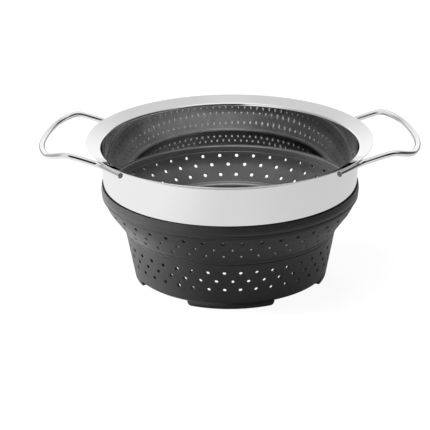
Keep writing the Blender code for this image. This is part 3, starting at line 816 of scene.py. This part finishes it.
slot_hole = (SLOT_HALF_WIDTH, SLOT_HALF_WIDTH, SLOT_HALF_LENGTH - SLOT_HALF_WIDTH)
floor_parts = [pierced_row(
    floor_place, -SLOT_MIDDLE, -SLOT_EDGES[0], -SLOT_EDGES[1], SLOT_COUNT,
    math.pi / SLOT_COUNT, slot_hole, SLOT_EDGE, 0.0)]
floor_parts += [turned_grid(outline([
    (SLOT_EDGES[0], FLOOR_TOP, 0), (FLOOR_EDGE, FLOOR_TOP, 0), (FLOOR_EDGE, FEET_HEIGHT, 0),
    (SLOT_EDGES[0], FEET_HEIGHT, 0)], FLOOR_SPACING), MARGIN_STEPS)]
floor_parts += [turned_grid(outline([
    (SLOT_EDGES[1], FEET_HEIGHT, 0), (GRATE_RADIUS, FEET_HEIGHT, BAR_EDGE),
    (GRATE_RADIUS, FLOOR_TOP, BAR_EDGE), (SLOT_EDGES[1], FLOOR_TOP, 0)],
    FLOOR_SPACING), MARGIN_STEPS)]
floor_parts += [
    flat_ring(GRATE_RING + BAR_WIDTH / 2, GRATE_RING - BAR_WIDTH / 2, BAR_EDGE, GRATE_STEPS),
    flat_ring(HUB_RADIUS, HUB_PINHOLE, HUB_EDGE, HUB_STEPS)]
floor_parts += [spoke(index * 2 * math.pi / SPOKES) for index in range(SPOKES)]
floor_grate = new_piece("floor_grate", *gather(floor_parts), silicone)
weld_points(floor_grate)
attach(floor_grate, "cup")
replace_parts(floor_grate, "cup_floor")


# Feet
# Four like silicone arcs that carry the wall's taper down to the table, with rounded ends and
# edges. Their tops are moulded into the foot of the wall.

FOOT_DEPTH = 0.0090
FOOT_HALF_TURN = math.radians(25.6)
FOOT_ROUNDING = 0.0032
FOOT_EDGE = 0.0008
FOOT_TUCK = 0.0016
FOOT_PROUD = 0.00003
FOOT_END_ROWS, FOOT_MIDDLE_ROWS = 12, 90


def foot(name, facing):
    """A swept arc whose lower edge rises in a quarter circle at each end.

    Along the arc each section is the wall's taper, a rounded lower edge, a level sole, a rounded
    inner edge and an upright inner face.
    """
    half_length = FOOT_HALF_TURN * cup_radius(0)
    ends = FOOT_ROUNDING * (1 - np.sin(np.radians(np.linspace(0, 90, FOOT_END_ROWS))))
    middle = np.linspace(-1, 1, FOOT_MIDDLE_ROWS) * (half_length - FOOT_ROUNDING)
    place = np.concatenate([ends[::-1][:-1] - half_length, middle, half_length - ends[1:]])
    from_end = np.clip(FOOT_ROUNDING - (half_length - np.abs(place)), 0, FOOT_ROUNDING)
    low = (FOOT_ROUNDING - np.sqrt(FOOT_ROUNDING ** 2 - from_end ** 2))[:, None]
    lap = np.radians([0, 30, 60, 90])[None, :]
    rise, fall = FOOT_EDGE * (1 - np.sin(lap)), FOOT_EDGE * (1 - np.cos(lap))
    top = np.full_like(low, FEET_HEIGHT + FOOT_TUCK)
    outer_height = np.concatenate([top, low + rise], axis=1)
    outer_radius = cup_radius(outer_height) + FOOT_PROUD
    outer_radius[:, 1:] -= fall
    inner_height = np.concatenate([low + rise[:, ::-1], top - FOOT_TUCK / 2], axis=1)
    inner_radius = cup_radius(0) - FOOT_DEPTH + np.append(fall[:, ::-1], [[0]], axis=1) + 0 * low
    radius = np.concatenate([outer_radius, inner_radius], axis=1)
    height = np.concatenate([outer_height, inner_height], axis=1)
    turn = facing + (place / cup_radius(0))[:, None] + 0 * radius
    points = close_ends(np.stack([radius * np.cos(turn), radius * np.sin(turn), height], axis=-1))
    piece = new_piece(name, points.reshape(-1, 3), grid_faces(
        len(points), points.shape[1])[:, ::-1], silicone)
    weld_points(piece)
    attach(piece, "cup")
    return piece


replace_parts(foot("front_foot", -math.pi / 2), "foot_front")
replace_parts(foot("back_foot", math.pi / 2), "foot_back")
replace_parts(foot("left_foot", math.pi), "foot_left")
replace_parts(foot("right_foot", 0.0), "foot_right")


# Studio
# A pale floor in a white tent. Gloss mirrors a tent that is bright low down and straight above,
# dim at both sides, and open in front to a dark room, which the wires mirror as streaks. Of the
# four soft lamps only the overhead one shows in gloss, and it falls on the silicone alone.

FLOOR_SIZE, FLOOR_DROP = 14, 0.0002
FLOOR_LIGHT, FLOOR_SHADE = 0.94, 0.06
FLOOR_MATT = 0.22
SOFT_LIGHT = 0.12
ROOM_SHADE = 0.03

# Steps of the mirrored floor, each (start, end, light before, light after), in metres along X or
# Y, or out from the basket's middle. They paint light and shade onto the floor that gloss sees:
# painted light to the left, painted shade to the right, and a painted shadow round the basket.
PAINTED_LIGHT_LEFT, PAINTED_LIGHT_MIDDLE, PAINTED_SHADE_RIGHT = 0.97, 0.77, 0.69
FLOOR_PAINTED_LIGHT_LEFT = (-0.30, 0.0, PAINTED_LIGHT_LEFT, PAINTED_LIGHT_MIDDLE)
FLOOR_PAINTED_SHADE_RIGHT = (0.0, 0.32, 1.0, PAINTED_SHADE_RIGHT / PAINTED_LIGHT_MIDDLE)
FLOOR_FAR_LEFT = (-0.90, -0.45, 0.40, 1.0)
FLOOR_FAR_RIGHT = (0.40, 0.90, 1.0, 0.30)
FLOOR_FRONT = (-0.95, -0.50, ROOM_SHADE, 1.0)
FLOOR_BEHIND = (0.25, 0.80, 1.0, 0.45)
# A painted shadow round the basket: the mirrored floor darkens next to it.
FLOOR_PAINTED_SHADOW = (0.09, 0.18, 0.45, 1.0)

# Steps of the mirrored tent, over the X, Y or Z part of the direction that is looked in.
TENT_RISE = (0.15, 0.75, 1.05, 0.72)
TENT_CROWN = (0.88, 0.97, 1.0, 1.45)
TENT_RIGHT = (0.50, 0.85, 1.0, 0.06)
TENT_LEFT = (-0.90, -0.60, 0.45, 1.0)
ROOM_AHEAD = (-0.70, -0.40, 1.0, 0.0)
ROOM_FROM_LEFT = (-0.35, -0.10, 0.0, 1.0)
ROOM_DARK = (0.0, 1.0, 1.0, ROOM_SHADE)

LAMP_AIM = 0.07


def path_share(tree, *rays):
    """1 for the named kinds of ray, such as Is Camera Ray, and 0 for the others."""
    path = tree.nodes.new("ShaderNodeLightPath")
    share = path.outputs[rays[0]]
    for ray in rays[1:]:
        larger = tree.nodes.new("ShaderNodeMath")
        larger.operation = "MAXIMUM"
        tree.links.new(share, larger.inputs[0])
        tree.links.new(path.outputs[ray], larger.inputs[1])
        share = larger.outputs[0]
    return share


def stepped(tree, value, step):
    """A smooth step of a value: step is (start, end, low before start, high after end)."""
    ramp = tree.nodes.new("ShaderNodeMapRange")
    ramp.interpolation_type = "SMOOTHSTEP"
    for socket, number in zip(("From Min", "From Max", "To Min", "To Max"), step):
        ramp.inputs[socket].default_value = number
    tree.links.new(value, ramp.inputs["Value"])
    return ramp.outputs["Result"]


def product(tree, result, *others):
    """The product of two or more node outputs."""
    for other in others:
        times = tree.nodes.new("ShaderNodeMath")
        times.operation = "MULTIPLY"
        tree.links.new(result, times.inputs[0])
        tree.links.new(other, times.inputs[1])
        result = times.outputs[0]
    return result


def show_by_ray(tree, output, lit, mirrored, seen):
    """Give the eye one shader, gloss another, and a third to the light on matt surfaces."""
    by_mirror, by_eye = (
        tree.nodes.new("ShaderNodeMixShader"), tree.nodes.new("ShaderNodeMixShader"))
    link = tree.links.new
    link(path_share(tree, "Is Glossy Ray"), by_mirror.inputs["Fac"])
    link(lit.outputs[0], by_mirror.inputs[1])
    link(mirrored.outputs[0], by_mirror.inputs[2])
    link(path_share(tree, "Is Camera Ray", "Is Transmission Ray"), by_eye.inputs["Fac"])
    link(by_mirror.outputs[0], by_eye.inputs[1])
    link(seen.outputs[0], by_eye.inputs[2])
    link(by_eye.outputs[0], output.inputs["Surface"])


bpy.ops.mesh.primitive_plane_add(size=FLOOR_SIZE, location=(0, 0, -FLOOR_DROP))
studio_floor = bpy.context.object
studio_floor.name = "studio_floor"
floor_material = bpy.data.materials.new("pale_floor")
floor_material.use_nodes = True
tree = floor_material.node_tree
tree.nodes.clear()
add, link = tree.nodes.new, tree.links.new
output, place, split = (
    add("ShaderNodeOutputMaterial"), add("ShaderNodeTexCoord"), add("ShaderNodeSeparateXYZ"))
matt, faint, glow, seen, mirrored = (
    add("ShaderNodeBsdfDiffuse"), add("ShaderNodeBsdfDiffuse"), add("ShaderNodeEmission"),
    add("ShaderNodeAddShader"), add("ShaderNodeEmission"))
matt.inputs["Color"].default_value = (FLOOR_MATT, FLOOR_MATT, FLOOR_MATT, 1)
faint.inputs["Color"].default_value = (FLOOR_SHADE, FLOOR_SHADE, FLOOR_SHADE, 1)
glow.inputs["Strength"].default_value = FLOOR_LIGHT
reach = add("ShaderNodeVectorMath")
reach.operation = "LENGTH"
link(place.outputs["Object"], split.inputs[0])
link(place.outputs["Object"], reach.inputs[0])
# Painted light to the left and painted shade to the right in the floor that gloss sees, with
# dimmer floor far off at both sides.
across = [stepped(tree, split.outputs["X"], step)
          for step in (FLOOR_PAINTED_LIGHT_LEFT, FLOOR_PAINTED_SHADE_RIGHT, FLOOR_FAR_LEFT, FLOOR_FAR_RIGHT)]
along = [stepped(tree, split.outputs["Y"], step) for step in (FLOOR_FRONT, FLOOR_BEHIND)]
# Painted shadow round the basket in the floor that gloss sees.
beside = stepped(tree, reach.outputs["Value"], FLOOR_PAINTED_SHADOW)
link(product(tree, *across, *along, beside), mirrored.inputs["Strength"])
link(faint.outputs[0], seen.inputs[0])
link(glow.outputs[0], seen.inputs[1])
show_by_ray(tree, output, matt, mirrored, seen)
studio_floor.data.materials.append(floor_material)

world = bpy.context.scene.world or bpy.data.worlds.new("studio")
bpy.context.scene.world = world
world.use_nodes = True
tree = world.node_tree
tree.nodes.clear()
add, link = tree.nodes.new, tree.links.new
output, place, split = (
    add("ShaderNodeOutputWorld"), add("ShaderNodeTexCoord"), add("ShaderNodeSeparateXYZ"))
soft, tent, white = (
    add("ShaderNodeBackground"), add("ShaderNodeBackground"), add("ShaderNodeBackground"))
for background in (soft, tent, white):
    background.inputs["Color"].default_value = (1, 1, 1, 1)
soft.inputs["Strength"].default_value = SOFT_LIGHT
link(place.outputs["Generated"], split.inputs[0])
upwards = [stepped(tree, split.outputs["Z"], step) for step in (TENT_RISE, TENT_CROWN)]
sideways = [stepped(tree, split.outputs["X"], step) for step in (TENT_RIGHT, TENT_LEFT)]
room = product(tree, stepped(tree, split.outputs["Y"], ROOM_AHEAD),
               stepped(tree, split.outputs["X"], ROOM_FROM_LEFT))
link(product(tree, *upwards, *sideways, stepped(tree, room, ROOM_DARK)), tent.inputs["Strength"])
show_by_ray(tree, output, soft, tent, white)

# What the overhead lamp falls on. The feet aren't in it, because they stand in the cup's shade.
silicone_pieces = bpy.data.collections.new("silicone_pieces")
bpy.context.scene.collection.children.link(silicone_pieces)
for piece in (collar, band, rib, cup, floor_grate):
    silicone_pieces.objects.link(piece)


def softbox(name, place, size, power, mirrored):
    """A square soft lamp that faces the basket.

    One that shows in gloss falls on the silicone alone: the steel mirrors the tent in its place.
    """
    lamp = bpy.data.lights.new(name, "AREA")
    lamp.size, lamp.energy = size, power
    holder = bpy.data.objects.new(name, lamp)
    holder.location = place
    holder.rotation_mode = "QUATERNION"
    aim = Vector((0, 0, LAMP_AIM)) - Vector(place)
    holder.rotation_quaternion = aim.to_track_quat("-Z", "Y")
    holder.visible_glossy = mirrored
    if mirrored:
        holder.light_linking.receiver_collection = silicone_pieces
    bpy.context.scene.collection.objects.link(holder)


softbox("front_softbox", (-0.20, -0.25, 1.25), size=0.6, power=24, mirrored=False)
softbox("overhead_softbox", (-0.03, 0.05, 1.25), size=0.5, power=24, mirrored=True)
softbox("left_softbox", (-1.4, 0.25, 0.46), size=0.8, power=104, mirrored=False)
softbox("back_softbox", (-0.2, 1.3, 0.5), size=0.6, power=24, mirrored=False)


# Camera
# The photograph's view: 21 degrees above the horizon, from 1.47 m, square to the front. The shift
# puts the basket where it stands in the photograph, and its two numbers are in pixels of that.

CAMERA_DISTANCE = 1.472
CAMERA_RISE = math.radians(21.15)
CAMERA_ROLL = math.radians(-0.4)
CAMERA_AIM = 0.0689
CAMERA_LENS, CAMERA_SENSOR = 134.0, 36.0
CAMERA_NEAR, CAMERA_FAR = 0.05, 50
PHOTO_WIDTH = 430
PHOTO_SHIFT = (-15.2, -14.5)

camera_data = bpy.data.cameras.new("camera")
camera_data.lens, camera_data.sensor_width = CAMERA_LENS, CAMERA_SENSOR
camera_data.shift_x = PHOTO_SHIFT[0] / PHOTO_WIDTH
camera_data.shift_y = PHOTO_SHIFT[1] / PHOTO_WIDTH
camera_data.clip_start, camera_data.clip_end = CAMERA_NEAR, CAMERA_FAR
camera = bpy.data.objects.new("camera", camera_data)
bpy.context.scene.collection.objects.link(camera)
camera.matrix_world = (
    Matrix.Translation((0, -CAMERA_DISTANCE * math.cos(CAMERA_RISE),
                        CAMERA_AIM + CAMERA_DISTANCE * math.sin(CAMERA_RISE)))
    @ Matrix.Rotation(math.pi / 2 - CAMERA_RISE, 4, "X") @ Matrix.Rotation(CAMERA_ROLL, 4, "Z"))
bpy.context.scene.camera = camera
bpy.context.scene.view_settings.view_transform = "Standard"
